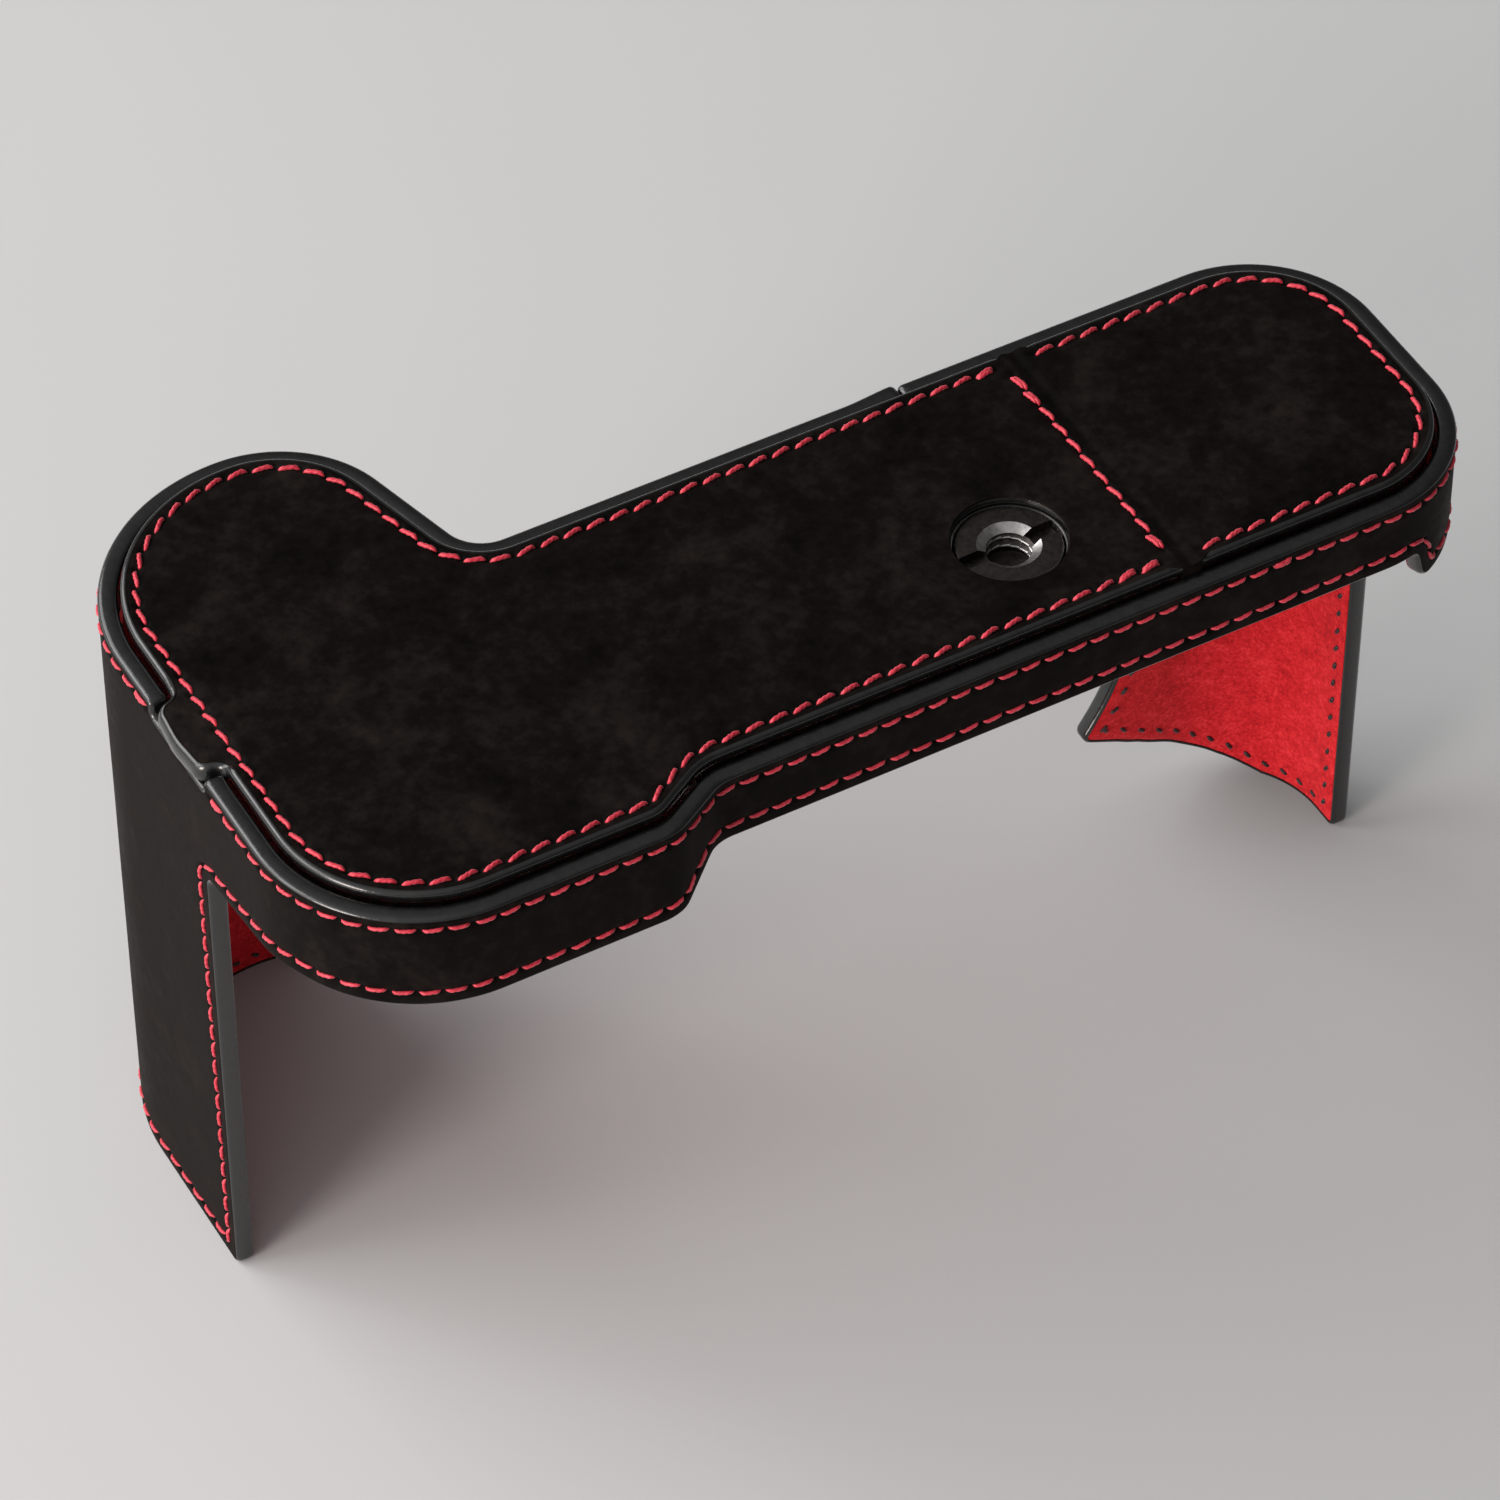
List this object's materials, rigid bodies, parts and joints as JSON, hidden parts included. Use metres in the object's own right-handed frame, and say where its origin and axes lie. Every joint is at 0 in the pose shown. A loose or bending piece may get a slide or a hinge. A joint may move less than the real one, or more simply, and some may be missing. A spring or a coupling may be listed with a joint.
{
  "type": "camera half case",
  "caption": "Leather half case for a mirrorless camera, standing base up on its two tall walls, with a hinged base flap, a pull tab and a captive tripod screw.",
  "frame": {"origin": "under the middle of the case's box, on the surface that the two tall walls stand on", "axes": "+X along the camera from the hand grip to the plain end, +Y to the lens side, +Z out of the base"},
  "size_m": [0.1528, 0.077, 0.0848],
  "materials": {
    "black_leather": "smooth oiled leather with glossy painted edges",
    "red_suede": "short napped suede",
    "red_thread": "waxed twisted thread",
    "stiffener_board": "pressed leather-fibre board",
    "bush_metal": "turned",
    "white_plastic": "plain",
    "dark_screw_metal": "dark anodised with bright worn edges"
  },
  "bodies": {
    "case": {"wall_leather": "black_leather", "wall_lining": "red_suede", "grip_leg_core": "stiffener_board", "end_leg_core": "stiffener_board", "end_panel_leather": "black_leather", "end_panel_board": "stiffener_board", "end_panel_lining": "red_suede", "end_panel_welt": "black_leather", "hinge_strip": "black_leather", "rim_thread": "red_thread", "back_edge_thread": "red_thread", "grip_leg_thread": "red_thread", "front_edge_thread": "red_thread", "end_leg_thread": "red_thread", "end_panel_thread": "red_thread"},
    "flap": {"flap_leather": "black_leather", "flap_board": "stiffener_board", "flap_lining": "red_suede", "flap_thread": "red_thread", "screw_bush": "bush_metal"},
    "screw_slider": {"head_washer": "white_plastic"},
    "screw": {"tripod_screw": "dark_screw_metal"}
  },
  "joints": [
    {"name": "flap_hinge", "type": "hinge", "parent": "case", "child": "flap", "pos_m": [0.0352, 0, 0.0844], "axis": [0, 1, 0], "range_deg": [0, 115], "deforming": ["hinge_strip"]},
    {"name": "screw_float", "type": "slide", "parent": "flap", "child": "screw_slider", "axis": [0, 0, 1], "range_m": [0, 0.0015]},
    {"name": "screw_spin", "type": "hinge", "parent": "screw_slider", "child": "screw", "pos_m": [0.0193, -0.0179, 0.0799], "axis": [0, 0, 1], "continuous": true}
  ]
}
